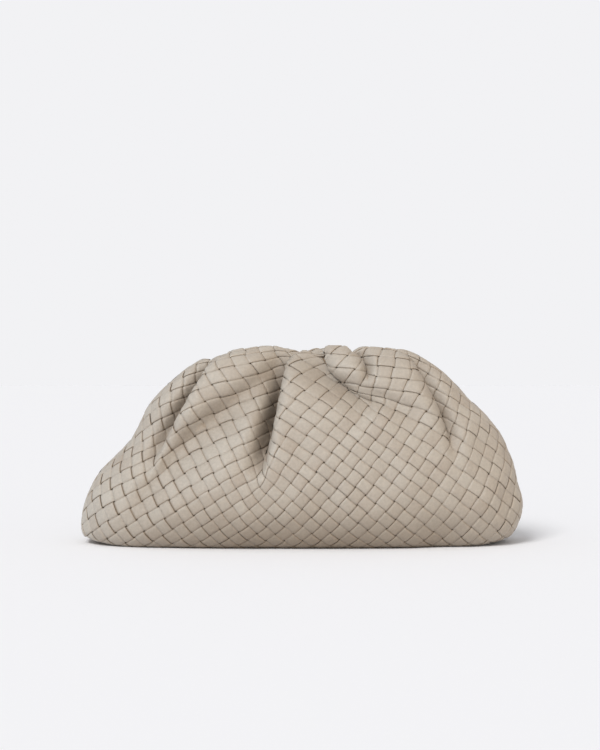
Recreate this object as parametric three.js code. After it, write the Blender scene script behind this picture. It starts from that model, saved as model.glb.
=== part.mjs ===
// Woven leather pouch bag: a soft clutch of two leather panels that are sewn together round the
// ends and the base, gathered at the top and turned in over a hidden closing frame.
// Millimetres, +Z up, the front faces -Y, the origin is on the floor under the middle of the bag.
import * as THREE from "three";

// Driving dimensions
const WALL = 2.4; // two layers of woven strip
const SEAM_GAP = 0.3; // between the front panel and the back panel
const FRAME_GAP = 0.7; // between the frame and the leather round it
const FRAME_BAR = 4.4; // thickness of the frame's bar, seen from above
const FRAME_HEIGHT = 9;
const FRAME_DROP = 14.5; // from the crest of the lip down to the top of the frame
const FRAME_CLEAR = 13.5; // no fold comes nearer than this to the middle plane, so the frame has room
const BACK_DIP = 4; // the back's lip stands this much lower than the front's
const FLAT_SHARE = 0.72; // share of the base's half length that lies flat on the floor

// A table's rows as objects, with the row's name and a value for each column.
const table = (columns, rows) =>
  Object.entries(rows).map(([name, values]) => ({
    name,
    ...Object.fromEntries(columns.map((column, i) => [column, values[i]])),
  }));

// Sections of the wall, from the hem inside the mouth, over the lip and down to the seam under the base.
// height: at the middle of the bag; leftHeight, rightHeight: at the end seams;
// left, right: X of the end seams; depth: how far the wall stands off the middle plane;
// square: power of the plan outline, 2 is an ellipse; steps: rows of faces down to the next section.
const SECTION_COLUMNS = ["height", "leftHeight", "rightHeight", "left", "right", "depth", "square", "steps"];
const SECTIONS = table(SECTION_COLUMNS, {
  "hem edge": [156, 146, 152, -79, 86, 2.6, 8, 1],
  "hem top": [171, 160, 167, -80, 87, 3, 8, 2],
  "lip crest": [179, 166, 174, -88, 94, 11, 6, 2],
  "lip outer": [172, 162, 169, -97, 106, 22, 4.5, 3],
  "shoulder": [155, 149, 155, -114, 127, 38, 3.2, 4],
  "upper": [128, 127, 131, -136, 151, 54, 2.6, 4],
  "middle": [95, 97, 98, -152, 180.5, 66, 2.3, 3],
  "lower": [60, 62, 62, -184, 194.5, 73, 2.4, 2],
  "belly": [35, 36, 36, -196.5, 200, 74, 2.6, 2],
  "foot": [12, 16, 15, -200, 195.5, 66, 2.8, 1],
  "heel": [3, 10, 10, -199, 192, 57, 2.9, 1],
  "contact": [0, 7.5, 7.5, -198, 190, 46, 3, 1],
  "base seam": [0, 5.5, 5.5, -196, 188, 0, 3, 0],
});

// Folds of the gathered leather, each a valley along a bowed line seen from the front.
// topX, topZ, tailX, tailZ: its two ends; bow: how far its middle swings to the right of that line;
// depth: how far it would sink with nothing behind it; wideLeft, wideRight: its half widths;
// lap: how far its right edge leans over it, or its left edge if negative;
// notch: how far it dips the crest of the lip.
const FOLD_COLUMNS = [
  "topX", "topZ", "tailX", "tailZ", "bow", "depth", "wideLeft", "wideRight", "lap", "notch",
];
const FRONT_FOLDS = table(FOLD_COLUMNS, {
  "left valley": [-76, 169, -144, 62, 0, 34, 9, 5, 10, 6],
  "left soft fold": [-36, 146, -160, 26, -2, 19, 8, 15, 0, 0],
  "centre valley": [-7, 178, -42, 62, 3, 100, 11, 5, 11, 8],
  "gather crease": [18, 180, 78, 124, -11, 24, 14, 4, 5, 8],
  "pleat crease": [46, 180, 63, 149, 2, 60, 4, 5, -5, 7],
  "right crease": [34, 150, 116, 106, 4, 11, 14, 7, 0, 0],
  "right valley": [108, 148, 140, 76, 2, 26, 5, 10, -6, 0],
  "base dent": [122, 2, 112, 50, 0, 6, 26, 16, 0, 0],
});
const BACK_FOLDS = table(FOLD_COLUMNS, {
  "left valley": [-84, 168, -138, 84, 4, 40, 18, 8, 5, 3],
  "left pleat": [-46, 176, -78, 76, 5, 70, 14, 6, 8, 5],
  "middle crease": [2, 180, -6, 104, -4, 40, 9, 6, 4, 5],
  "right pleat": [42, 179, 72, 72, 5, 70, 6, 14, -8, 5],
  "right valley": [92, 172, 142, 84, 0, 30, 12, 12, 0, 3],
});

const FRONT = -1;
const BACK = 1;
const FRONT_COLUMNS = 55; // faces along the front panel, finer because its folds are sharper
const BACK_COLUMNS = 31;
const EDGE_COLUMNS = 3; // at least this many between the bottom and the crest of a leaning edge
const CLOSEST = 0.008; // least distance of two kept places, as a share of the row
const LINE_ROUNDS = 6; // rounds that bring a fold's line onto a row
const COLUMN_SAMPLES = 12; // points for each column when a row's length is measured
const FRAME_STATIONS = 48;

// How the folds fade, over the crest of the lip, at the end seams and towards the frame
const NOTCH_REACH = 0.05; // along the wall, as a share of its length
const SEAM_FADE = 0.04; // along a section, as a share of its length
const ROOM_SHARE = 0.9; // of the way to the frame's clear space that a fold may sink
const LEAST_ROOM = 0.001;
const LAP_ROOM = 20; // beyond that space, where an edge leans fully
const LIP_POWER = 3; // how late the lip drops towards its ends

// A leaning edge: where it has its fold's bottom and its own crest, and how wide it is, in laps
const EDGE_BOTTOM = 0.2;
const EDGE_CREST = 1;
const EDGE_INNER = 0.55;
const EDGE_OUTER = 2.5;
const LEAN = 1.2;

const LEATHER = new THREE.MeshStandardMaterial({ color: 0xb9ad9b, roughness: 0.55, metalness: 0 });
const STEEL = new THREE.MeshStandardMaterial({ color: 0x8d8b86, roughness: 0.35, metalness: 1 });

// Distance down the middle of the wall at each section, as a share of the whole.
const knots = [0];
SECTIONS.slice(1).forEach((row, i) => {
  const above = SECTIONS[i];
  knots.push(knots[i] + Math.hypot(row.height - above.height, row.depth - above.depth));
});
const wallLength = knots[knots.length - 1];
knots.forEach((k, i) => (knots[i] = k / wallLength));
const knotAt = (name) => knots[SECTIONS.findIndex((row) => row.name === name)];
const HEM_TOP = knotAt("hem top");
const LIP_CREST = knotAt("lip crest");
const LIP_OUTER = knotAt("lip outer");
const BELLY = knotAt("belly");
const FOOT = knotAt("foot");

const clamp01 = (v) => Math.min(1, Math.max(0, v));
const bell = (v) => Math.exp(-v * v);
// How strong a fold still is at this share of its length.
const fade = (share) => (1 - share ** 3) ** 1.5;

// A curve through one column of the sections that never overshoots its rows.
function columnCurve(column) {
  const y = SECTIONS.map((row) => row[column]);
  const h = knots.slice(1).map((k, i) => k - knots[i]);
  const slope = h.map((step, i) => (y[i + 1] - y[i]) / step);
  const tangent = y.map((_, i) => {
    if (i === 0) return slope[0];
    if (i === h.length) return slope[h.length - 1];
    if (slope[i - 1] * slope[i] <= 0) return 0;
    const before = 2 * h[i] + h[i - 1];
    const after = h[i] + 2 * h[i - 1];
    return (before + after) / (before / slope[i - 1] + after / slope[i]);
  });
  return (t) => {
    let i = 0;
    while (i < h.length - 1 && t > knots[i + 1]) i++;
    const s = (t - knots[i]) / h[i];
    const r = 1 - s;
    return (
      y[i] * (1 + 2 * s) * r * r + tangent[i] * h[i] * s * r * r +
      y[i + 1] * s * s * (3 - 2 * s) - tangent[i + 1] * h[i] * s * s * r
    );
  };
}
const SHAPE_COLUMNS = SECTION_COLUMNS.filter((column) => column !== "steps");
const curves = SHAPE_COLUMNS.map((column) => [column, columnCurve(column)]);

// One section of the smooth bag as points from the left seam to the right seam, and the share of
// the section's length at each of them.
const OUTLINE_STEPS = 600;
function sectionOutline(t, side) {
  const row = Object.fromEntries(curves.map(([column, curve]) => [column, curve(t)]));
  const onBase = clamp01((t - BELLY) / (FOOT - BELLY));
  const points = [];
  const along = [0];
  for (let i = 0; i <= OUTLINE_STEPS; i++) {
    const u = -Math.cos((Math.PI * i) / OUTLINE_STEPS);
    const reach = Math.abs(u);
    const end = u < 0 ? row.leftHeight : row.rightHeight;
    const flatLift = clamp01((reach - FLAT_SHARE) / (1 - FLAT_SHARE)) ** 2;
    const lift = reach ** LIP_POWER * (1 - onBase) + flatLift * onBase;
    const standOff = row.depth * Math.max(0, 1 - reach ** row.square) ** (1 / row.square);
    points.push(
      new THREE.Vector3(
        (row.left + row.right) / 2 + ((row.right - row.left) / 2) * u,
        side * Math.max(standOff, SEAM_GAP / 2),
        row.height + (end - row.height) * lift,
      ),
    );
    if (i === 0) continue;
    const step = Math.hypot(points[i].x - points[i - 1].x, points[i].y - points[i - 1].y);
    along.push(along[i - 1] + step);
  }
  return { points, along: along.map((d) => d / along[OUTLINE_STEPS]) };
}

// The outline of the section at t, made once.
const outlines = new Map();
function outlineAt(t, side) {
  const key = side + ":" + t;
  if (!outlines.has(key)) outlines.set(key, sectionOutline(t, side));
  return outlines.get(key);
}

// The last index whose value, rising with the index, is not over the wanted one, and the share to the next.
function bracket(valueAt, wanted) {
  let low = 0;
  let high = OUTLINE_STEPS;
  while (high - low > 1) {
    const middle = (low + high) >> 1;
    if (valueAt(middle) <= wanted) low = middle;
    else high = middle;
  }
  return { low, share: clamp01((wanted - valueAt(low)) / (valueAt(high) - valueAt(low))) };
}

// The point of the smooth bag at share m along the section at t.
function smoothPoint(m, t, side) {
  const { points, along } = outlineAt(t, side);
  const { low, share } = bracket((i) => along[i], m);
  return points[low].clone().lerp(points[low + 1], share);
}

// A fold at a point seen from the front: the direction to its right, how far past its line the point
// lies, how strong it still is there, and how far within its valley and its leaning edge, from 0 to 1.
function foldShape(fold, x, z) {
  const dx = fold.tailX - fold.topX;
  const dz = fold.tailZ - fold.topZ;
  const length = Math.hypot(dx, dz);
  const rightX = -dz / length;
  const rightZ = dx / length;
  const s = clamp01(((x - fold.topX) * dx + (z - fold.topZ) * dz) / length ** 2);
  const past = (x - fold.topX) * rightX + (z - fold.topZ) * rightZ - 4 * fold.bow * s * (1 - s);
  const leansLeft = fold.lap >= 0;
  const across = leansLeft ? past : -past;
  const lap = Math.abs(fold.lap);
  const wideUnder = leansLeft ? fold.wideLeft : fold.wideRight;
  const wideEdge = leansLeft ? fold.wideRight : fold.wideLeft;
  const fromBottom = across - EDGE_BOTTOM * lap;
  const fromCrest = across - EDGE_CREST * lap;
  return {
    rightX,
    rightZ,
    past,
    strength: fade(s),
    valley: bell(fromBottom / (fromBottom < 0 ? wideUnder : wideEdge)),
    edge: lap === 0 ? 0 : bell(fromCrest / ((fromCrest < 0 ? EDGE_INNER : EDGE_OUTER) * lap)),
  };
}

// The outer face of a panel: the smooth bag with its folds pressed in.
function panelPoint(m, t, side, folds) {
  const smooth = smoothPoint(m, t, side);
  const point = smooth.clone();
  const standOff = Math.abs(smooth.y);
  const outside = clamp01((t - LIP_CREST) / (LIP_OUTER - LIP_CREST));
  const awayFromSeam = clamp01(Math.min(m, 1 - m) / SEAM_FADE);
  const atLip = bell((t - LIP_CREST) / NOTCH_REACH) * clamp01(t / HEM_TOP) * awayFromSeam;
  const lapRoom = clamp01((standOff - FRAME_CLEAR) / LAP_ROOM);
  if (side === BACK) point.z -= BACK_DIP * atLip * Math.sin(Math.PI * m);
  let sink = 0;
  for (const fold of folds) {
    const { rightX, rightZ, strength, valley, edge } = foldShape(
      fold, smooth.x, t < LIP_CREST ? fold.topZ : smooth.z,
    );
    const lean = LEAN * fold.lap * edge * strength * outside * lapRoom;
    sink += fold.depth * strength * valley * outside;
    point.x -= lean * rightX;
    point.z -= lean * rightZ + fold.notch * atLip * valley;
  }
  const room = Math.max(ROOM_SHARE * (standOff - FRAME_CLEAR), LEAST_ROOM);
  point.y -= side * room * (1 - Math.exp(-sink / room));
  return point;
}

// The outward direction of a panel at (m, t); along a seam it stays in the middle plane.
const NEAR = 0.004;
function outward(m, t, side, folds) {
  const at = (a, b) => panelPoint(clamp01(a), clamp01(b), side, folds);
  const alongM = at(m + NEAR, t).sub(at(m - NEAR, t));
  const alongT = at(m, t + NEAR).sub(at(m, t - NEAR));
  const normal = new THREE.Vector3().crossVectors(alongT, alongM).multiplyScalar(-side);
  if (m === 0 || m === 1 || t === 1) normal.y = 0;
  return normal.normalize();
}

// Where a fold's line, moved sideways, meets the row at t, as a share along that row. Past its two ends
// the line goes straight up and straight down.
function linePlace(fold, sideways, t, side) {
  const { points, along } = outlineAt(t, side);
  let x = fold.topX;
  let place = 0;
  for (let round = 0; round < LINE_ROUNDS; round++) {
    const { low, share } = bracket((i) => points[i].x, x);
    const height = points[low].z + (points[low + 1].z - points[low].z) * share;
    const { past, rightX } = foldShape(fold, x, Math.min(fold.topZ, Math.max(fold.tailZ, height)));
    x += (sideways - past) / rightX;
    place = along[low] + (along[low + 1] - along[low]) * share;
  }
  return place;
}

// The places along one row that columns of faces keep to: its ends, and the bottom and the crest of
// each leaning edge.
function keptPlaces(t, side, folds) {
  const leaning = folds.filter((fold) => fold.lap !== 0).sort((a, b) => a.topX - b.topX);
  const places = [0];
  for (const fold of leaning) {
    const sideways = [EDGE_BOTTOM * fold.lap, EDGE_CREST * fold.lap].sort((a, b) => a - b);
    places.push(...sideways.map((past) => linePlace(fold, past, t, side)));
  }
  places.push(1);
  const last = places.length - 1;
  for (let i = 1; i < last; i++) places[i] = Math.max(places[i], places[i - 1] + CLOSEST);
  for (let i = last - 1; i > 0; i--) places[i] = Math.min(places[i], places[i + 1] - CLOSEST);
  return places;
}

// Shares from a to b along the row at t that divide its folded length evenly, with a but without b.
function evenPlaces(a, b, count, t, side, folds) {
  const samples = COLUMN_SAMPLES * count;
  const at = (i) => a + ((b - a) * i) / samples;
  const lengths = [0];
  for (let i = 1; i <= samples; i++) {
    const from = panelPoint(at(i - 1), t, side, folds);
    lengths.push(lengths[i - 1] + from.distanceTo(panelPoint(at(i), t, side, folds)));
  }
  return Array.from({ length: count }, (_, k) => {
    const wanted = (lengths[samples] * k) / count;
    const i = Math.max(1, lengths.findIndex((d) => d >= wanted - 1e-9));
    return at(i - 1 + (wanted - lengths[i - 1]) / (lengths[i] - lengths[i - 1]));
  });
}

// How many columns of faces lie between the kept places, shared out by width.
function columnCounts(kept, columns) {
  const widths = kept[0].slice(1).map((_, i) => {
    const total = kept.reduce((sum, row) => sum + row[i + 1] - row[i], 0);
    return total / kept.length;
  });
  return widths.map((width) => Math.max(EDGE_COLUMNS, Math.round(columns * width)));
}

// The rows of a panel's faces, as shares down the wall.
const ROWS = SECTIONS.flatMap((row, i) =>
  Array.from({ length: row.steps }, (_, k) => knots[i] + ((knots[i + 1] - knots[i]) * k) / row.steps),
).concat(1);

// The shares along each row where a panel has its columns of faces.
function columnPlaces(side, folds, wantedColumns) {
  const kept = ROWS.map((t) => keptPlaces(t, side, folds));
  const counts = columnCounts(kept, wantedColumns);
  return ROWS.map((t, j) =>
    counts.flatMap((n, k) => evenPlaces(kept[j][k], kept[j][k + 1], n, t, side, folds)).concat(1),
  );
}

// The points of a panel's outer face, column by column, and those a wall's thickness further in.
function panelPoints(places, side, folds) {
  const outer = [];
  const inner = [];
  for (let i = 0; i < places[0].length; i++) {
    for (const [j, t] of ROWS.entries()) {
      const m = places[j][i];
      const point = panelPoint(m, t, side, folds);
      const inside = point.clone().addScaledVector(outward(m, t, side, folds), -WALL);
      inside.y = side * Math.max(side * inside.y, SEAM_GAP / 2);
      outer.push(point);
      inner.push(inside);
    }
  }
  return { outer, inner };
}

// The place in the list of points of the one in column i and row j.
const pointIndex = (i, j) => i * ROWS.length + j;

// The corners of one face, in an order that splits it along the diagonal nearer the true surface.
function faceCorners(i, j, places, outer, side, folds) {
  const m = (places[j][i] + places[j + 1][i] + places[j + 1][i + 1] + places[j][i + 1]) / 4;
  const centre = panelPoint(m, (ROWS[j] + ROWS[j + 1]) / 2, side, folds);
  const middle = (a, b) => outer[a].clone().lerp(outer[b], 0.5);
  const [a, b, c, d] = [[i, j], [i, j + 1], [i + 1, j + 1], [i + 1, j]].map((at) => pointIndex(...at));
  const falling = middle(a, c).distanceTo(centre);
  const rising = middle(b, d).distanceTo(centre);
  return rising < falling ? [b, c, d, a] : [a, b, c, d];
}

// One leather panel: its outer face, its inner face and the four edges between them.
function panelGeometry(side, folds, wantedColumns) {
  const places = columnPlaces(side, folds, wantedColumns);
  const { outer, inner } = panelPoints(places, side, folds);
  const columns = places[0].length - 1;
  const bottom = ROWS.length - 1;
  const count = outer.length;
  const faces = [];
  const quad = (a, b, c, d) =>
    side === FRONT ? faces.push(a, b, c, a, c, d) : faces.push(a, c, b, a, d, c);
  const edge = (a, b) => quad(a, a + count, b + count, b);
  for (let i = 0; i < columns; i++) {
    for (let j = 0; j < bottom; j++) {
      const [a, b, c, d] = faceCorners(i, j, places, outer, side, folds);
      quad(a, b, c, d);
      quad(a + count, d + count, c + count, b + count);
    }
    edge(pointIndex(i + 1, 0), pointIndex(i, 0));
    edge(pointIndex(i, bottom), pointIndex(i + 1, bottom));
  }
  for (let j = 0; j < bottom; j++) {
    edge(pointIndex(0, j), pointIndex(0, j + 1));
    edge(pointIndex(columns, j + 1), pointIndex(columns, j));
  }
  const positions = [...outer, ...inner].flatMap((point) => point.toArray());
  return new THREE.BufferGeometry()
    .setAttribute("position", new THREE.Float32BufferAttribute(positions, 3))
    .setIndex(faces);
}

// The hidden frame: a flat loop in the hem, with a bar along each side of the mouth.
function frameGeometry() {
  const hem = SECTIONS.find((row) => row.name === "hem top");
  const crest = SECTIONS.find((row) => row.name === "lip crest");
  const middleX = (hem.left + hem.right) / 2;
  const innerX = (hem.right - hem.left) / 2 + WALL + FRAME_GAP;
  const innerY = hem.depth + WALL + FRAME_GAP;
  const loops = [
    { halfX: innerX, halfY: innerY, drop: FRAME_DROP },
    { halfX: innerX + FRAME_BAR, halfY: innerY + FRAME_BAR, drop: FRAME_DROP },
    { halfX: innerX + FRAME_BAR, halfY: innerY + FRAME_BAR, drop: FRAME_DROP + FRAME_HEIGHT },
    { halfX: innerX, halfY: innerY, drop: FRAME_DROP + FRAME_HEIGHT },
  ];
  const crestHalf = (crest.right - crest.left) / 2;
  const lipHeight = (x) => {
    const reach = clamp01(Math.abs(x - middleX) / crestHalf) ** LIP_POWER;
    const end = x < middleX ? crest.leftHeight : crest.rightHeight;
    return crest.height + (end - crest.height) * reach;
  };
  const positions = [];
  for (let i = 0; i < FRAME_STATIONS; i++) {
    const angle = (2 * Math.PI * i) / FRAME_STATIONS;
    const c = Math.cos(angle);
    const s = Math.sin(angle);
    const power = 2 / hem.square;
    for (const loop of loops) {
      const x = middleX + loop.halfX * Math.sign(c) * Math.abs(c) ** power;
      const y = loop.halfY * Math.sign(s) * Math.abs(s) ** power;
      positions.push(x, y, lipHeight(x) - loop.drop);
    }
  }
  const faces = [];
  const corner = (station, loop) => station * loops.length + loop;
  for (let i = 0; i < FRAME_STATIONS; i++) {
    const next = (i + 1) % FRAME_STATIONS;
    for (let k = 0; k < loops.length; k++) {
      const up = (k + 1) % loops.length;
      const [a, b, c, d] = [corner(i, k), corner(next, k), corner(next, up), corner(i, up)];
      faces.push(a, c, b, a, d, c);
    }
  }
  return new THREE.BufferGeometry()
    .setAttribute("position", new THREE.Float32BufferAttribute(positions, 3))
    .setIndex(faces);
}

function piece(name, geometry, material) {
  geometry.computeVertexNormals();
  const mesh = new THREE.Mesh(geometry, material);
  mesh.name = name;
  return mesh;
}

const bag = new THREE.Group();
bag.name = "woven_leather_pouch_bag";
bag.add(
  piece("front_panel", panelGeometry(FRONT, FRONT_FOLDS, FRONT_COLUMNS), LEATHER),
  piece("back_panel", panelGeometry(BACK, BACK_FOLDS, BACK_COLUMNS), LEATHER),
  piece("closing_frame", frameGeometry(), STEEL),
);

export default bag;
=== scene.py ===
"""Looks of the woven leather pouch bag.

Each leather panel is drawn as the same folded surface as its CAD solid, laid out flat with little
stretch, and covered with real interlaced strips. Lengths are in millimetres until a mesh is made.
"""

import math

import bpy
import numpy as np
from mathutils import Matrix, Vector
from mathutils.bvhtree import BVHTree


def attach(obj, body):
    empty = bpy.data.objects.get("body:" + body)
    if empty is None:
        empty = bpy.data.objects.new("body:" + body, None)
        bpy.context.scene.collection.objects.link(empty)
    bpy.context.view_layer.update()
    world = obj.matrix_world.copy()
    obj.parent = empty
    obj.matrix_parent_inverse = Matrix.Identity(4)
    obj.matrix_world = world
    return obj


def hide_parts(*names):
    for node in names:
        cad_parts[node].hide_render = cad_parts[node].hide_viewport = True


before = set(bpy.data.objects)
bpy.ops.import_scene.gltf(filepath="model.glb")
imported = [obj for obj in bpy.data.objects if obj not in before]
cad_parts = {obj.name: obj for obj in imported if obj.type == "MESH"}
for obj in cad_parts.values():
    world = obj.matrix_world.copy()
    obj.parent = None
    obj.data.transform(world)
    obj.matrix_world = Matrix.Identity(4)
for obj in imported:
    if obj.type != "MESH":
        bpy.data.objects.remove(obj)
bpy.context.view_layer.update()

MM = 0.001
FRONT = -1
BACK = 1

# The folded surface, as in the CAD part
SEAM_GAP = 0.3  # between the front panel and the back panel
FRAME_CLEAR = 13.5  # no fold comes nearer than this to the middle plane, so the frame has room
BACK_DIP = 4  # the back's lip stands this much lower than the front's
FLAT_SHARE = 0.72  # share of the base's half length that lies flat on the floor
NOTCH_REACH = 0.05  # of a fold over the crest of the lip, as a share of the wall's length
SEAM_FADE = 0.04  # share of a section's length over which the lip's notches fade at the end seams
ROOM_SHARE = 0.9  # of the way to the frame's clear space that a fold may sink
LEAST_ROOM = 0.001  # where there is no such way, to divide by
LAP_ROOM = 20  # beyond that space, where an edge leans fully
LIP_POWER = 3  # how late the lip drops towards its ends
OUTLINE_POINTS = 1201  # along a section when its length is measured
ROW_POINTS = 1001  # along a folded row when its length is measured
LEAST_NORMAL = 1e-9  # length of a normal, to divide by

# A leaning edge: where it has its fold's bottom and its own crest, and how wide it is, in laps
EDGE_BOTTOM = 0.2
EDGE_CREST = 1.0
EDGE_INNER = 0.55
EDGE_OUTER = 2.5
LEAN = 1.2

# The slit that takes in the leather of a fold
SLIT_PLACE = 0.5  # from the fold's line towards its leaning edge, in laps
SLIT_WIDTH = 2.2  # half of it, up to the share of the fold's length where it begins to widen
SLIT_SPREAD = 6
SPREAD_FROM = 0.7
TUCK_REACH = 1.4  # the tuck ends at this share of the fold's length
TUCK_TAPER = 1.5
TOP_FADE = 0.25  # share of its length over which a fold that begins below the lip fades in
PINCH_REACH = 14  # the lip is drawn together over each slit from this far

# Sections of the wall, from the hem inside the mouth, over the lip and down to the seam under the base.
# height: at the middle of the bag; left_height, right_height: at the end seams;
# left, right: X of the end seams; depth: how far the wall stands off the middle plane;
# square: power of the plan outline, 2 is an ellipse.
SECTION_COLUMNS = ("height", "left_height", "right_height", "left", "right", "depth", "square")
SECTIONS = {
    "hem edge": (156, 146, 152, -79, 86, 2.6, 8),
    "hem top": (171, 160, 167, -80, 87, 3, 8),
    "lip crest": (179, 166, 174, -88, 94, 11, 6),
    "lip outer": (172, 162, 169, -97, 106, 22, 4.5),
    "shoulder": (155, 149, 155, -114, 127, 38, 3.2),
    "upper": (128, 127, 131, -136, 151, 54, 2.6),
    "middle": (95, 97, 98, -152, 180.5, 66, 2.3),
    "lower": (60, 62, 62, -184, 194.5, 73, 2.4),
    "belly": (35, 36, 36, -196.5, 200, 74, 2.6),
    "foot": (12, 16, 15, -200, 195.5, 66, 2.8),
    "heel": (3, 10, 10, -199, 192, 57, 2.9),
    "contact": (0, 7.5, 7.5, -198, 190, 46, 3),
    "base seam": (0, 5.5, 5.5, -196, 188, 0, 3),
}
# Folds of the gathered leather, each a valley along a bowed line seen from the front.
# top_x, top_z, tail_x, tail_z: its two ends; bow: how far its middle swings to the right of that line;
# depth: how far it would sink with nothing behind it; wide_left, wide_right: its half widths;
# lap: how far its right edge leans over it, or its left edge if negative;
# notch: how far it dips the crest of the lip, 0 if it begins below the lip;
# tuck: depth of the leather that is gathered into it, which only sets how the strips run.
FOLD_COLUMNS = (
    "top_x", "top_z", "tail_x", "tail_z", "bow", "depth", "wide_left", "wide_right", "lap", "notch", "tuck",
)
FRONT_FOLDS = {
    "left valley": (-76, 169, -144, 62, 0, 34, 9, 5, 10, 6, 20),
    "left soft fold": (-36, 146, -160, 26, -2, 19, 8, 15, 0, 0, 5),
    "centre valley": (-7, 178, -42, 62, 3, 100, 11, 5, 11, 8, 56),
    "gather crease": (18, 180, 78, 124, -11, 24, 14, 4, 5, 8, 31),
    "pleat crease": (46, 180, 63, 149, 2, 60, 4, 5, -5, 7, 16),
    "right crease": (34, 150, 116, 106, 4, 11, 14, 7, 0, 0, 11),
    "right valley": (108, 148, 140, 76, 2, 26, 5, 10, -6, 0, 10),
    "base dent": (122, 2, 112, 50, 0, 6, 26, 16, 0, 0, 0),
}
BACK_FOLDS = {
    "left valley": (-84, 168, -138, 84, 4, 40, 18, 8, 5, 3, 10),
    "left pleat": (-46, 176, -78, 76, 5, 70, 14, 6, 8, 5, 19),
    "middle crease": (2, 180, -6, 104, -4, 40, 9, 6, 4, 5, 11),
    "right pleat": (42, 179, 72, 72, 5, 70, 6, 14, -8, 5, 19),
    "right valley": (92, 172, 142, 84, 0, 30, 12, 12, 0, 3, 8),
}
PANELS = {"front_panel": (FRONT, FRONT_FOLDS), "back_panel": (BACK, BACK_FOLDS)}
# Slow unevenness of the soft leather, as waves: millimetres per radian along X and Z, phase, height
WAVES = (
    (9, 21, 0.3, 0.55), (-13, 9, 1.9, 0.5), (6.5, -17, 4.1, 0.4), (5, 12, 2.7, 0.3), (-7, 6, 5.2, 0.25),
)
WAVES_FROM = 30  # height above which they are whole
END_WAVES = 115  # distance from the middle beyond which they also move the ends' outline
END_WAVES_OVER = 69  # and over which that grows

# The panels' flat nets
NET_COLUMNS = 150
NET_ROWS = 90
UNWRAP_ROUNDS = 12
FINER = 3  # the surface is this much finer than the net that is laid out flat
LIP_LEAD = 4  # rows of the net that set which way the leather goes on over the lip
NEIGHBOURS = 8  # columns on each side that even out that way
BELL_END = 2  # the neighbours' weights follow a bell as far as this
LEAST_SPREAD = 0.3  # leather squeezed more than this lies hidden in a gather
ON_NET = 1e-4  # a flat point this near to the net is on it

# The weave; places along a strip are in pitches, and a strip rides over every second crossing strip
PITCH = 11.5
WEAVE_TURN = math.radians(45)
MOST_STRIPS = 30  # of each family on each side of a panel's middle
STRIP_REACH = 40  # length of a strip from the middle, in pitches
HALF_WIDTH = 0.457  # of a strip, in pitches
WIDTH_SPREAD = 0.025  # of the strips
RISE = 0.68  # how far a strip rides above or below the middle of the weave
RISE_SPREAD = 0.2  # of its cells
DIVE = 0.075  # how suddenly it goes under the next one, in pitches
CELLS = 100  # more than the cells of the longest strip
LEAST_ROWS = 3  # a shorter stretch of a strip is left out
# Rows of a strip round each crest and on to the next, closest where it goes under or comes up
STEPS = (-0.5, -0.44, -0.38, -0.28, -0.1, 0.1, 0.28, 0.38, 0.44, 0.5, 0.56, 0.66, 1.0, 1.34, 1.44)
# A strip's cross section: place across it in half widths, and height
SECTION_LOOP = np.array([
    (-0.95, -0.58), (-1.0, 0.05), (-0.92, 0.42), (-0.5, 0.6),
    (0.5, 0.6), (0.92, 0.42), (1.0, 0.05), (0.95, -0.58),
])
# Towards the left end the weave is pulled open: how much narrower the strips of each family are there,
# how much painted shade each has coming up out of a gap, and where this begins and over what it grows
LOOSE_SHARE = (-0.02, 0.085)
LOOSE_SHADE = (1.2, 0)
LOOSE_FROM = -70
LOOSE_OVER = 50
BACKING_DROP = 1.4  # the backing lies this far under the middle of the weave
BACKING_STEP = 2  # columns of the fine surface for each column of the backing
SEED = 11

# The leather's colours, and the colours of the painted shade mixed into them
LEATHER_COLOUR = (0.446, 0.39, 0.326, 1)
LEATHER_WARM = (0.34, 0.265, 0.204, 1)
# painted shade: brown mixed in where leather is pressed into folds, near the floor and in open gaps, and on
# the backing
LEATHER_SHADE = (0.24, 0.18, 0.125, 1)
# painted shade: darker edges of the strips, and the backing seen in the holes of the weave
PAINTED_DARK_SHADE = (0.34, 0.235, 0.145, 1)
TONE_RANGE = (-3.5, 4.0)  # strips' tones from the plain colour to the warm one
# painted shade in folds, as deep as the leather is pressed in
SHADE_DEPTH = 45  # leather pressed in this far has its full brown shade
# painted shade, darker towards the floor and towards the bag's middle
FLOOR_SHADE = 0.85  # share of that shade at the floor, in the middle of the bag
FLOOR_REACH = 65  # height at which the floor's shade ends
FLOOR_SPAN = 190  # distance from the middle at which it ends
FLOOR_POWER = 1.5
# painted shade along a strip's edge
EDGE_FROM = 0.9  # place across a strip, in half widths, where its edge begins to darken
EDGE_DARKNESS = 0.45
MOTTLE_NOISE = (0.3, 0.7)  # range of the fine noise that mottles the leather
MOTTLE_LIGHT = (0.88, 1.08)  # and how dark and light it makes it
STEEL_COLOUR = (0.27, 0.26, 0.25, 1)

# Stage and light, in metres; a far light shines from its place towards the origin
FLOOR_COLOUR = (0.94, 0.939, 0.95, 1)
FLOOR_SIZE = 80
BACKDROP_COLOUR = (0.887, 0.887, 0.905, 1)
BACKDROP_SIZE = 4
BACKDROP_PLACE = (0, 2.6, 1.9)
WORLD_STRENGTH = 0.6
BLACK = (0, 0, 0, 1)
# Far lights: their places, strengths, widths in degrees and colours
LIGHT_COLUMNS = ("place", "power", "degrees", "colour")
LIGHTS = {
    "key": ((-0.5, -0.95, 1.1), 1.92, 24, (1, 1, 1)),
    "cool fill": ((-1, -0.5, 0.4), 0.8, 70, (0.42, 0.74, 1)),
    "warm fill": ((1, -0.5, 0.4), 0.64, 70, (1, 0.77, 0.4)),
}
ON_LEATHER_ONLY = ("cool fill", "warm fill")  # so that their colours do not tint the floor

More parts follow.
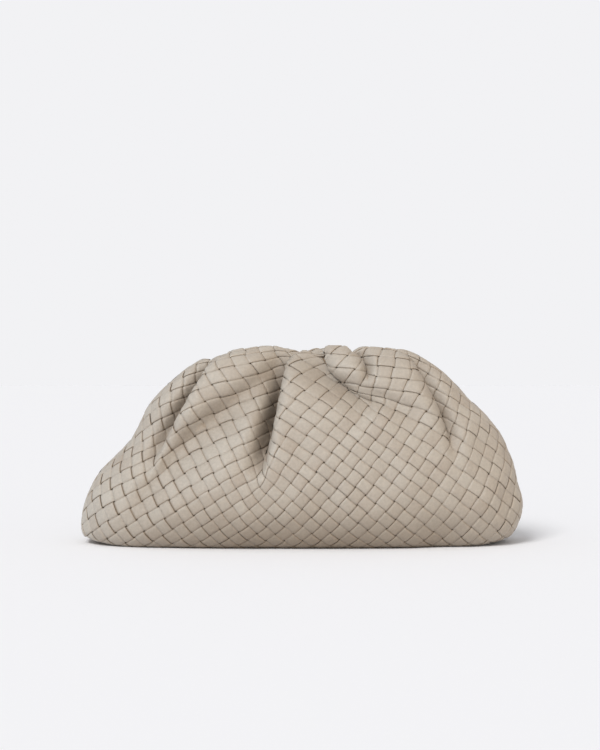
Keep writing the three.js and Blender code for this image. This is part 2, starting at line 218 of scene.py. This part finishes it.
# Camera
PIXEL = 0.911 * MM  # size of one pixel of the photograph at the bag
FRAME_PIXELS = 750
BASE_ROW = 542  # row of the photograph's picture where the floor meets the middle of the bag
BASE_COLUMN = 1.5  # how many pixels right of the picture's middle that is
CAMERA_DISTANCE = 2.2
CAMERA_ELEVATION = math.radians(4.5)
BAG_MIDDLE = 0.09  # height that the camera's elevation is measured from
SENSOR_WIDTH = 36


def bell(v):
    return np.exp(-v * v)


def fade(share):
    """How strong a fold still is at this share of its length."""
    return (1 - share**3) ** 1.5


def columns_of(table, names):
    """A table's columns by name, as arrays with one value for each row."""
    return {name: np.array([row[i] for row in table.values()], float) for i, name in enumerate(names)}


# Distance down the middle of the wall at each section, as a share of the whole
section = columns_of(SECTIONS, SECTION_COLUMNS)
steps_down = np.hypot(np.diff(section["height"]), np.diff(section["depth"]))
knots = np.concatenate([[0], np.cumsum(steps_down)]) / steps_down.sum()
KNOT = dict(zip(SECTIONS, knots))


def curve_at(values, t):
    """A smooth curve through one column of the sections that never overshoots its rows."""
    h = np.diff(knots)
    slope = np.diff(values) / h
    tangent = np.concatenate([slope[:1], np.zeros(len(h) - 1), slope[-1:]])
    for i in range(1, len(h)):
        if slope[i - 1] * slope[i] > 0:
            before = 2 * h[i] + h[i - 1]
            after = h[i] + 2 * h[i - 1]
            tangent[i] = (before + after) / (before / slope[i - 1] + after / slope[i])
    i = np.clip(np.searchsorted(knots, t) - 1, 0, len(h) - 1)
    s = (t - knots[i]) / h[i]
    r = 1 - s
    return (
        values[i] * (1 + 2 * s) * r * r + tangent[i] * h[i] * s * r * r
        + values[i + 1] * s * s * (3 - 2 * s) - tangent[i + 1] * h[i] * s * s * r
    )


def smooth_grid(places, rows, side):
    """Points of the bag without folds: [share along a section, share down the wall, XYZ]."""
    u = -np.cos(np.linspace(0, math.pi, OUTLINE_POINTS))
    reach = np.abs(u)
    row_values = {name: curve_at(values, rows) for name, values in section.items()}
    grid = np.zeros((len(places), len(rows), 3))
    for j, t in enumerate(rows):
        row = {name: values[j] for name, values in row_values.items()}
        on_base = np.clip((t - KNOT["belly"]) / (KNOT["foot"] - KNOT["belly"]), 0, 1)
        flat_lift = np.clip((reach - FLAT_SHARE) / (1 - FLAT_SHARE), 0, 1) ** 2
        lift = reach**LIP_POWER * (1 - on_base) + flat_lift * on_base
        end = np.where(u < 0, row["left_height"], row["right_height"])
        stand_off = row["depth"] * np.maximum(0, 1 - reach ** row["square"]) ** (1 / row["square"])
        x = (row["left"] + row["right"]) / 2 + (row["right"] - row["left"]) / 2 * u
        y = side * np.maximum(stand_off, SEAM_GAP / 2)
        z = row["height"] + (end - row["height"]) * lift
        along = np.concatenate([[0], np.cumsum(np.hypot(np.diff(x), np.diff(y)))])
        for k, values in enumerate((x, y, z)):
            grid[:, j, k] = np.interp(places[:, j], along / along[-1], values)
    return grid


def fold_shape(fold, x, z):
    """A fold at points seen from the front: how far down it they lie, the direction to its right, its
    strength there, how far they lie within its valley and its leaning edge, how far to the right of
    the slit that takes in leather, and how wide that slit is there."""
    dx = fold["tail_x"] - fold["top_x"]
    dz = fold["tail_z"] - fold["top_z"]
    length = math.hypot(dx, dz)
    right = np.array([-dz, dx]) / length
    run = ((x - fold["top_x"]) * dx + (z - fold["top_z"]) * dz) / length**2
    s = np.clip(run, 0, 1)
    past = (x - fold["top_x"]) * right[0] + (z - fold["top_z"]) * right[1] - 4 * fold["bow"] * s * (1 - s)
    side_of_edge = 1 if fold["lap"] >= 0 else -1
    lap = abs(fold["lap"])
    across = past * side_of_edge
    wide_under, wide_edge = (fold["wide_left"], fold["wide_right"])[::side_of_edge]
    from_bottom = across - EDGE_BOTTOM * lap
    from_crest = across - EDGE_CREST * lap
    edge_width = np.where(from_crest < 0, EDGE_INNER, EDGE_OUTER) * lap
    return {
        "run": run,
        "right": right,
        "strength": fade(s),
        "valley": bell(from_bottom / np.where(from_bottom < 0, wide_under, wide_edge)),
        "edge": bell(from_crest / edge_width) if lap else np.zeros_like(s),
        "from_slit": side_of_edge * (across - SLIT_PLACE * lap),
        "slit_width": SLIT_WIDTH * (1 + SLIT_SPREAD * np.maximum(run - SPREAD_FROM, 0)),
    }


def folds_at(folds, smooth, t):
    """Each fold, with its shape at the points of the smooth bag. Inside the mouth it is as at its top."""
    for values in folds.values():
        fold = dict(zip(FOLD_COLUMNS, values))
        z = np.where(t < KNOT["lip crest"], fold["top_z"], smooth[..., 2])
        yield fold, fold_shape(fold, smooth[..., 0], z)


def outside_share(t):
    """0 as far as the crest of the lip, 1 from its outer side down."""
    return np.clip((t - KNOT["lip crest"]) / (KNOT["lip outer"] - KNOT["lip crest"]), 0, 1)


def lip_share(places, t):
    """1 on the crest of the lip, less away from it and at the end seams."""
    near_crest = bell((t - KNOT["lip crest"]) / NOTCH_REACH) * np.clip(t / KNOT["hem top"], 0, 1)
    return near_crest * np.clip(np.minimum(places, 1 - places) / SEAM_FADE, 0, 1)


def dipped(smooth, places, t, side):
    """A copy of the smooth bag with the back's lip at its own height."""
    grid = smooth.copy()
    if side == BACK:
        grid[..., 2] -= BACK_DIP * lip_share(places, t) * np.sin(math.pi * places)
    return grid


def unevenness(smooth):
    """How far the soft leather stands out or in at each point, apart from its folds."""
    x, z = smooth[..., 0], smooth[..., 2]
    waves = sum(height * np.sin(x / a + z / b + phase) for a, b, phase, height in WAVES)
    return waves * np.clip(z / WAVES_FROM, 0, 1)


def lip_pinch(shape):
    """How far points near a slit are drawn towards it."""
    from_slit = shape["from_slit"]
    pinch = np.clip(from_slit, -shape["slit_width"], shape["slit_width"])
    return pinch * np.clip(1 - np.abs(from_slit) / PINCH_REACH, 0, 1)


def folded_grid(places, rows, side, folds):
    """Points of a panel's outer face: the smooth bag with its folds pressed in."""
    smooth = smooth_grid(places, rows, side)
    t = rows[None, :]
    outside = outside_share(t)
    at_lip = lip_share(places, t)
    stand_off = np.abs(smooth[..., 1])
    lap_room = np.clip((stand_off - FRAME_CLEAR) / LAP_ROOM, 0, 1)
    grid = dipped(smooth, places, t, side)
    sink = np.zeros_like(stand_off)
    for fold, shape in folds_at(folds, smooth, t):
        right = shape["right"]
        if fold["notch"] > 0:
            grid[..., 0] -= lip_pinch(shape) / right[0] * (1 - outside)
        lean = LEAN * fold["lap"] * shape["edge"] * shape["strength"] * outside * lap_room
        sink += fold["depth"] * shape["strength"] * shape["valley"] * outside
        grid[..., 0] -= lean * right[0]
        grid[..., 2] -= lean * right[1] + fold["notch"] * at_lip * shape["valley"]
    room = np.maximum(ROOM_SHARE * (stand_off - FRAME_CLEAR), LEAST_ROOM)
    grid[..., 1] -= side * room * (1 - np.exp(-sink / room))
    uneven = unevenness(smooth)
    at_ends = np.clip((np.abs(smooth[..., 0]) - END_WAVES) / END_WAVES_OVER, 0, 1)
    grid[..., 0] += np.sign(smooth[..., 0]) * uneven * at_ends
    grid[..., 1] += side * uneven * lap_room
    return grid


def tucked_grid(places, rows, side, folds):
    """The smooth bag with all the leather that is gathered into each fold taken in along its slit."""
    smooth = smooth_grid(places, rows, side)
    t = rows[None, :]
    grid = dipped(smooth, places, t, side)
    normals = outward_normals(smooth, side)
    for fold, shape in folds_at(folds, smooth, t):
        slit = np.clip(1 - np.abs(shape["from_slit"]) / shape["slit_width"], 0, 1)
        taper = (1 - np.clip(shape["run"] / TUCK_REACH, 0, 1)) ** TUCK_TAPER
        if fold["notch"] == 0:
            taper = taper * outside_share(t) * np.clip(1 + shape["run"] / TOP_FADE, 0, 1)
        grid -= normals * (fold["tuck"] * taper * slit)[..., None]
    return grid


def fair_places(side, folds, columns, rows):
    """Shares along each row that give every column the same length of leather."""
    fine = np.linspace(0, 1, ROW_POINTS)
    places = np.repeat(fine[:, None], len(rows), axis=1)
    grids = [make_grid(places, rows, side, folds) for make_grid in (tucked_grid, folded_grid)]
    steps = [np.linalg.norm(np.diff(grid, axis=0), axis=2) for grid in grids]
    along = np.concatenate([np.zeros((1, len(rows))), np.cumsum(np.maximum(*steps), axis=0)])
    even = np.linspace(0, 1, columns + 1)
    return np.stack([np.interp(even, along[:, j] / along[-1, j], fine) for j in range(len(rows))], axis=1)


def outward_normals(grid, side):
    along = np.gradient(grid, axis=0)
    down = np.gradient(grid, axis=1)
    normals = -side * np.cross(down, along)
    return normals / np.maximum(np.linalg.norm(normals, axis=2, keepdims=True), LEAST_NORMAL)


def grid_faces(columns, rows):
    index = np.arange(columns * rows).reshape(columns, rows)
    corners = (index[:-1, :-1], index[:-1, 1:], index[1:, 1:], index[1:, :-1])
    return np.stack(corners, axis=2).reshape(-1, 4)


def new_mesh_object(name, points, faces):
    mesh = bpy.data.meshes.new(name)
    mesh.from_pydata((np.asarray(points) * MM).tolist(), [], faces)
    mesh.shade_smooth()
    piece = bpy.data.objects.new(name, mesh)
    bpy.context.scene.collection.objects.link(piece)
    return piece


def laid_flat(grid):
    """Lays a grid out flat with little stretch; (across, up) in millimetres for each grid point."""
    columns, rows = grid.shape[:2]
    net = new_mesh_object("net", grid.reshape(-1, 3), grid_faces(columns, rows).tolist())
    net.data.uv_layers.new(name="flat")
    bpy.context.view_layer.objects.active = net
    bpy.ops.object.mode_set(mode="EDIT")
    bpy.ops.mesh.select_all(action="SELECT")
    bpy.ops.uv.unwrap(
        method="MINIMUM_STRETCH", fill_holes=False, correct_aspect=False, iterations=UNWRAP_ROUNDS,
    )
    bpy.ops.object.mode_set(mode="OBJECT")
    loops = len(net.data.loops)
    uv = np.zeros(loops * 2)
    vertex = np.zeros(loops, int)
    net.data.uv_layers[0].data.foreach_get("uv", uv)
    net.data.loops.foreach_get("vertex_index", vertex)
    flat = np.zeros((columns * rows, 2))
    flat[vertex] = uv.reshape(-1, 2)
    bpy.data.objects.remove(net)
    return set_upright(flat.reshape(columns, rows, 2), grid)


def set_upright(flat, grid):
    """Turns a flat net so its middle runs down and its left seam is on the left, at the true size."""
    middle = flat.shape[0] // 2
    centre = flat[middle, flat.shape[1] // 2]
    down = flat[middle, -1] - flat[middle, 0]
    angle = math.atan2(down[0], -down[1])
    turn = np.array([[math.cos(angle), math.sin(angle)], [-math.sin(angle), math.cos(angle)]])
    flat = (flat - centre) @ turn.T
    if flat[0, -1, 0] > flat[-1, -1, 0]:
        flat[..., 0] *= -1
    true_area = np.linalg.norm(np.cross(np.gradient(grid, axis=0), np.gradient(grid, axis=1)), axis=2).sum()
    du = np.gradient(flat, axis=0)
    dv = np.gradient(flat, axis=1)
    flat_area = np.abs(du[..., 0] * dv[..., 1] - du[..., 1] * dv[..., 0]).sum()
    return flat * math.sqrt(true_area / flat_area)


def averaged(values):
    """Each column's values averaged with those of its neighbours."""
    window = bell(np.linspace(-BELL_END, BELL_END, 2 * NEIGHBOURS + 1))
    weights = window / window.sum()
    padded = np.pad(values, ((NEIGHBOURS, NEIGHBOURS), (0, 0)), mode="edge")
    return np.stack([np.convolve(column, weights, mode="valid") for column in padded.T], axis=1)


def with_lip(flat, lip):
    """Adds the rows over the lip to a flat net, straight on from its first rows."""
    way = averaged(flat[:, 0] - flat[:, LIP_LEAD])
    way /= np.linalg.norm(way, axis=1, keepdims=True)
    steps = np.linalg.norm(np.diff(lip, axis=1), axis=2)
    beyond = np.cumsum(steps[:, ::-1], axis=1)[:, ::-1]
    return np.concatenate([flat[:, :1] + way[:, None] * beyond[..., None], flat], axis=1)


def resampled(values, finer):
    """A grid of values with this many times as many steps each way."""
    for axis in (0, 1):
        steps = values.shape[axis] - 1
        at = np.linspace(0, steps, steps * finer + 1)
        low = np.minimum(at.astype(int), steps - 1)
        share = (at - low).reshape((-1, 1, 1) if axis == 0 else (1, -1, 1))
        values = values.take(low, axis) * (1 - share) + values.take(low + 1, axis) * share
    return values


class Panel:
    """One panel of the bag: where a point of its flat leather lies in space."""

    def __init__(self, side, folds):
        rows = np.linspace(0, 1, NET_ROWS + 1)
        places = fair_places(side, folds, NET_COLUMNS, rows)
        below_lip = int(KNOT["lip outer"] * NET_ROWS) + 1
        tucked = tucked_grid(places, rows, side, folds)
        lip = smooth_grid(places, rows, side)[:, : below_lip + 1]
        self.side = side
        self.flat = resampled(with_lip(laid_flat(tucked[:, below_lip:]), lip), FINER)
        fine_places = resampled(places[..., None], FINER)[..., 0]
        fine_rows = np.linspace(0, 1, NET_ROWS * FINER + 1)
        self.grid = folded_grid(fine_places, fine_rows, side, folds)
        self.normals = outward_normals(self.grid, side)
        smooth = smooth_grid(fine_places, fine_rows, side)
        self.pressed = np.abs(smooth[..., 1:2]) - np.abs(self.grid[..., 1:2])
        shown, cut = (np.linalg.norm(np.gradient(net, axis=0), axis=2) for net in (self.grid, self.flat))
        self.spread = (shown / cut)[..., None]
        quads = grid_faces(*self.grid.shape[:2])
        self.triangles = np.concatenate([quads[:, [0, 1, 2]], quads[:, [0, 2, 3]]])
        self.corners = np.zeros((self.flat.size // 2, 3))
        self.corners[:, :2] = self.flat.reshape(-1, 2)
        self.tree = BVHTree.FromPolygons(self.corners.tolist(), self.triangles.tolist())

    def lay(self, points):
        """Place and outward direction of flat points, how far each is pressed in, and whether it shows."""
        hits = [self.tree.find_nearest((p, q, 0.0)) for p, q in points]
        where = np.array([hit[0][:2] for hit in hits])
        triangle = self.triangles[[hit[2] for hit in hits]]
        on_panel = np.array([hit[3] < ON_NET for hit in hits])
        a, b, c = (self.corners[triangle[:, k], :2] for k in range(3))
        ab, ac, ap = b - a, c - a, where - a
        whole = ab[:, 0] * ac[:, 1] - ab[:, 1] * ac[:, 0]
        to_b = (ap[:, 0] * ac[:, 1] - ap[:, 1] * ac[:, 0]) / whole
        to_c = (ab[:, 0] * ap[:, 1] - ab[:, 1] * ap[:, 0]) / whole
        weights = np.stack([1 - to_b - to_c, to_b, to_c], axis=1)[..., None]
        place, outward, pressed, spread = (
            (values.reshape(-1, values.shape[2])[triangle] * weights).sum(axis=1)
            for values in (self.grid, self.normals, self.pressed, self.spread)
        )
        outward /= np.linalg.norm(outward, axis=1, keepdims=True)
        return place, outward, pressed[:, 0], on_panel & (spread[:, 0] > LEAST_SPREAD)


def ride_height(places):
    """Height of a strip, from 1 over a crossing strip to -1 under it, at places counted from a crest."""
    from_crest = np.abs((places + 1) % 2 - 1)
    return np.tanh((0.5 - from_crest) / DIVE)


def runs_shown(shows):
    """Slices of consecutive rows that show, with one more row past each end."""
    inside = np.concatenate([[False], shows, [False]])
    starts = np.flatnonzero(inside[1:] & ~inside[:-1])
    ends = np.flatnonzero(~inside[1:] & inside[:-1])
    long = [(a, b) for a, b in zip(starts, ends) if b - a > LEAST_ROWS]
    return [slice(max(0, a - 1), min(len(shows), b + 1)) for a, b in long]


def floor_shade(points):
    """Painted shade of points near the floor, strongest in the middle of the bag."""
    low = np.clip(1 - points[:, 2] / FLOOR_REACH, 0, 1) ** FLOOR_POWER
    return FLOOR_SHADE * low * np.clip(1 - (points[:, 0] / FLOOR_SPAN) ** 2, 0, 1)


class Strip:
    """One strip of a panel: its rows on the flat leather, and what sets it apart from the others."""

    def __init__(self, family, number, rng):
        along = np.array([math.cos(WEAVE_TURN), math.sin(WEAVE_TURN)])
        across = np.array([-math.sin(WEAVE_TURN), math.cos(WEAVE_TURN)])
        if family == 1:
            along, across = across, along
        first = number % 2 + family - STRIP_REACH
        crests = np.arange(0, 2 * STRIP_REACH, 2)
        self.family = family
        self.across = across
        self.places = (crests[:, None] + np.array(STEPS)).ravel()
        self.centres = PITCH * ((first + self.places)[:, None] * along + number * across)
        tone = rng.normal()
        self.cell_tones = tone + rng.normal(size=CELLS)
        self.half_width = PITCH * HALF_WIDTH * (1 + WIDTH_SPREAD * rng.normal())
        self.cell_rises = RISE * (1 + RISE_SPREAD * rng.normal(size=CELLS))

    def lay_on(self, panel):
        """Each stretch of the strip that shows, as points row by row, with the points' looks: their tone,
        how near the strip's edge they lie, and their painted shade."""
        middle, _, _, shows = panel.lay(self.centres)
        loose = np.clip((LOOSE_FROM - middle[:, 0]) / LOOSE_OVER, 0, 1)
        half = self.half_width * (1 - LOOSE_SHARE[self.family] * loose)[:, None, None]
        sides = len(SECTION_LOOP)
        for run in runs_shown(shows):
            rows = self.places[run]
            cell = np.round(rows / 2).astype(int) % CELLS
            ride = ride_height(rows)
            flat = self.centres[run][:, None] + half[run] * SECTION_LOOP[None, :, :1] * self.across
            place, outward, pressed, _ = panel.lay(flat.reshape(-1, 2))
            height = (self.cell_rises[cell] * ride)[:, None] + SECTION_LOOP[None, :, 1]
            solid = place + outward * height.reshape(-1, 1)
            # painted shade where the strip comes up out of an open gap
            comes_up = rows % 2 > 1
            in_gap = LOOSE_SHADE[self.family] * loose[run] * comes_up * (1 - ride) / 2
            # painted shade from folds pressed in, from the floor below and from open gaps, added together
            shade = pressed / SHADE_DEPTH + floor_shade(solid) + np.repeat(in_gap, sides)
            yield solid, {
                "tone": np.repeat(self.cell_tones[cell], sides),
                "edge": np.tile(np.abs(SECTION_LOOP[:, 0]), len(rows)),
                "shade": np.clip(shade, 0, 1),
            }


def tube_faces(count, start):
    """Faces of a stretch of strip with this many points from the start, closed at both ends."""
    sides = len(SECTION_LOOP)
    index = start + np.arange(count).reshape(-1, sides)
    after = np.roll(index, -1, axis=1)
    quads = np.stack([index[:-1], after[:-1], after[1:], index[1:]], axis=2)
    return [*quads.reshape(-1, 4).tolist(), index[0].tolist(), index[-1][::-1].tolist()]


def weave(name, panel, rng):
    """All strips of one panel as one mesh, with the points' looks stored in it."""
    points, faces = [], []
    stored = {"tone": [], "edge": [], "shade": []}
    start = 0
    for family in (0, 1):
        for number in range(-MOST_STRIPS, MOST_STRIPS + 1):
            for solid, looks in Strip(family, number, rng).lay_on(panel):
                points.append(solid)
                faces.extend(tube_faces(len(solid), start))
                start += len(solid)
                for label, values in looks.items():
                    stored[label].append(values)
    points = np.concatenate(points)
    points[:, 2] = np.maximum(points[:, 2], 0)
    piece = new_mesh_object(name, points, faces)
    for label, values in stored.items():
        attribute = piece.data.attributes.new(label, "FLOAT", "POINT")
        attribute.data.foreach_set("value", np.concatenate(values).astype(np.float32))
    return piece


def backing(name, panel):
    """The inner layer of the leather, which shows between the strips, coloured dark as painted shade."""
    kept = (slice(None, None, BACKING_STEP), slice(None, None, FINER))
    grid = panel.grid[kept] - BACKING_DROP * panel.normals[kept]
    grid[..., 1] = panel.side * np.maximum(panel.side * grid[..., 1], 0)
    grid[..., 2] = np.maximum(grid[..., 2], 0)
    faces = grid_faces(*grid.shape[:2])
    if panel.side == BACK:
        faces = faces[:, ::-1]
    return new_mesh_object(name, grid.reshape(-1, 3), faces.tolist())


def set_inputs(node, values):
    for name, value in values.items():
        node.inputs[name].default_value = value


def new_material(name, values):
    material = bpy.data.materials.new(name)
    material.use_nodes = True
    shader = material.node_tree.nodes["Principled BSDF"]
    set_inputs(shader, values)
    return material, material.node_tree, shader


def stored_value(tree, label):
    node = tree.nodes.new("ShaderNodeAttribute")
    node.attribute_name = label
    return node.outputs["Fac"]


def texture(tree, kind, output, values):
    """A texture that stays with the piece."""
    place = tree.nodes.new("ShaderNodeTexCoord")
    node = tree.nodes.new(kind)
    set_inputs(node, values)
    tree.links.new(place.outputs["Object"], node.inputs["Vector"])
    return node.outputs[output]


def noise(tree, values):
    return texture(tree, "ShaderNodeTexNoise", "Fac", values)


def ranged(tree, value, given, wanted=(0, 1), clamp=True):
    """A value moved from the given range to the wanted one."""
    node = tree.nodes.new("ShaderNodeMapRange")
    node.clamp = clamp
    set_inputs(node, {"From Min": given[0], "From Max": given[1], "To Min": wanted[0], "To Max": wanted[1]})
    tree.links.new(value, node.inputs["Value"])
    return node.outputs["Result"]


def multiplied(tree, first, second):
    node = tree.nodes.new("ShaderNodeMath")
    node.operation = "MULTIPLY"
    tree.links.new(first, node.inputs[0])
    tree.links.new(second, node.inputs[1])
    return node.outputs["Value"]


def mixed(tree, first, second, share, blend="MIX"):
    """Two colours mixed by a share; each of the three is a fixed value or another node's output."""
    node = tree.nodes.new("ShaderNodeMix")
    node.data_type = "RGBA"
    node.blend_type = blend
    for name, value in (("A", first), ("B", second), ("Factor", share)):
        if isinstance(value, bpy.types.NodeSocket):
            tree.links.new(value, node.inputs[name])
        else:
            node.inputs[name].default_value = value
    return node.outputs["Result"]


def bump(tree, height, values):
    node = tree.nodes.new("ShaderNodeBump")
    set_inputs(node, values)
    tree.links.new(height, node.inputs["Height"])
    return node


def leather_material():
    """Soft leather, a tone for each strip and cell; painted shade browns folds and base, darkens edges."""
    finish = {"Roughness": 0.55, "Specular IOR Level": 0.4, "Sheen Weight": 0.12}
    material, tree, shader = new_material("woven_leather", finish)
    tone = ranged(tree, stored_value(tree, "tone"), TONE_RANGE)
    blotch = noise(tree, {"Scale": 45, "Detail": 4})
    colour = mixed(tree, LEATHER_COLOUR, LEATHER_WARM, multiplied(tree, tone, blotch))
    # painted shade: browner in folds, near the floor and in open gaps
    shaded = mixed(tree, colour, LEATHER_SHADE, stored_value(tree, "shade"))
    edge = ranged(tree, stored_value(tree, "edge"), (EDGE_FROM, 1), (0, EDGE_DARKNESS))
    # painted shade at the strips' edges
    edged = mixed(tree, shaded, PAINTED_DARK_SHADE, edge)
    fine = noise(tree, {"Scale": 420, "Detail": 6, "Roughness": 0.65})
    mottle = ranged(tree, fine, MOTTLE_NOISE, MOTTLE_LIGHT, clamp=False)
    mottled = mixed(tree, edged, mottle, 1, blend="MULTIPLY")
    grain = texture(tree, "ShaderNodeTexVoronoi", "Distance", {"Scale": 1000})
    pores = bump(tree, grain, {"Strength": 0.3, "Distance": 0.0004})
    wrinkles = bump(tree, fine, {"Strength": 0.35, "Distance": 0.0008})
    tree.links.new(pores.outputs["Normal"], wrinkles.inputs["Normal"])
    tree.links.new(wrinkles.outputs["Normal"], shader.inputs["Normal"])
    tree.links.new(mottled, shader.inputs["Base Color"])
    return material


def backing_material():
    material, tree, shader = new_material("leather_backing", {"Roughness": 0.85})
    nap = noise(tree, {"Scale": 300, "Detail": 4})
    # painted shade: the backing's dark colour stands for the shade in the holes of the weave
    tree.links.new(mixed(tree, PAINTED_DARK_SHADE, LEATHER_SHADE, nap), shader.inputs["Base Color"])
    return material


def steel_material():
    finish = {"Roughness": 0.35, "Base Color": STEEL_COLOUR, "Metallic": 1}
    material, tree, shader = new_material("frame_steel", finish)
    brushing = noise(tree, {"Scale": 600, "Detail": 2})
    lines = bump(tree, brushing, {"Strength": 0.15, "Distance": 0.0002})
    tree.links.new(lines.outputs["Normal"], shader.inputs["Normal"])
    return material


def dress(leather_pieces):
    """Replaces the two CAD panels by woven ones, and finishes the frame."""
    leather = leather_material()
    inner = backing_material()
    rng = np.random.default_rng(SEED)
    for node, (side, folds) in PANELS.items():
        panel = Panel(side, folds)
        woven = weave(node + "_woven", panel, rng)
        lining = backing(node + "_backing", panel)
        woven.data.materials.append(leather)
        lining.data.materials.append(inner)
        for piece in (woven, lining):
            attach(piece, "root")
            leather_pieces.objects.link(piece)
        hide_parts(node)
    frame_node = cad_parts["closing_frame"]
    frame_node.data.materials.clear()
    frame_node.data.materials.append(steel_material())


def add_plane(name, material, **shape):
    bpy.ops.mesh.primitive_plane_add(**shape)
    plane = bpy.context.object
    plane.name = name
    plane.data.materials.append(material)
    return plane


def add_stage():
    """Pale floor, and behind it a backdrop that only the camera sees."""
    matt = {"Roughness": 0.8, "Specular IOR Level": 0.1}
    paint, _, _ = new_material("floor_paint", {"Base Color": FLOOR_COLOUR, **matt})
    shining = {"Emission Color": BACKDROP_COLOUR, "Emission Strength": 1}
    glow, _, _ = new_material("backdrop_glow", {"Base Color": BLACK, "Specular IOR Level": 0, **shining})
    upright = (math.pi / 2, 0, 0)
    floor = add_plane("floor", paint, size=FLOOR_SIZE)
    backdrop = add_plane("backdrop", glow, size=BACKDROP_SIZE, location=BACKDROP_PLACE, rotation=upright)
    backdrop.visible_diffuse = False
    backdrop.visible_glossy = False


def aim(thing, place, target):
    """Puts a light or a camera in its place, looking at the target."""
    thing.location = place
    thing.rotation_mode = "QUATERNION"
    thing.rotation_quaternion = (Vector(target) - Vector(place)).to_track_quat("-Z", "Y")
    bpy.context.scene.collection.objects.link(thing)


def add_lights(leather_pieces):
    """Soft light from all round, a key from the upper left, and weak fills on the leather alone."""
    world = bpy.data.worlds.new("studio")
    world.use_nodes = True
    set_inputs(
        world.node_tree.nodes["Background"], {"Color": BACKDROP_COLOUR, "Strength": WORLD_STRENGTH},
    )
    bpy.context.scene.world = world
    for name, values in LIGHTS.items():
        row = dict(zip(LIGHT_COLUMNS, values))
        light = bpy.data.lights.new(name, "SUN")
        light.energy = row["power"]
        light.angle = math.radians(row["degrees"])
        light.color = row["colour"]
        lamp = bpy.data.objects.new(name, light)
        aim(lamp, row["place"], (0, 0, 0))
        if name in ON_LEATHER_ONLY:
            lamp.light_linking.receiver_collection = leather_pieces


def add_camera():
    """The photograph's camera, almost level with the bag."""
    scene = bpy.context.scene
    camera = bpy.data.cameras.new("camera")
    eye = bpy.data.objects.new("camera", camera)
    back = CAMERA_DISTANCE * math.cos(CAMERA_ELEVATION)
    place = Vector((0, -back, BAG_MIDDLE + CAMERA_DISTANCE * math.sin(CAMERA_ELEVATION)))
    target = Vector((-BASE_COLUMN * PIXEL, 0, (BASE_ROW - FRAME_PIXELS / 2) * PIXEL))
    aim(eye, place, target)
    camera.sensor_width = SENSOR_WIDTH
    camera.lens = SENSOR_WIDTH * (target - place).length / (FRAME_PIXELS * PIXEL)
    scene.camera = eye
    scene.view_settings.view_transform = "Standard"


pieces_with_fills = bpy.data.collections.new("leather pieces")
add_stage()
add_lights(pieces_with_fills)
add_camera()
dress(pieces_with_fills)
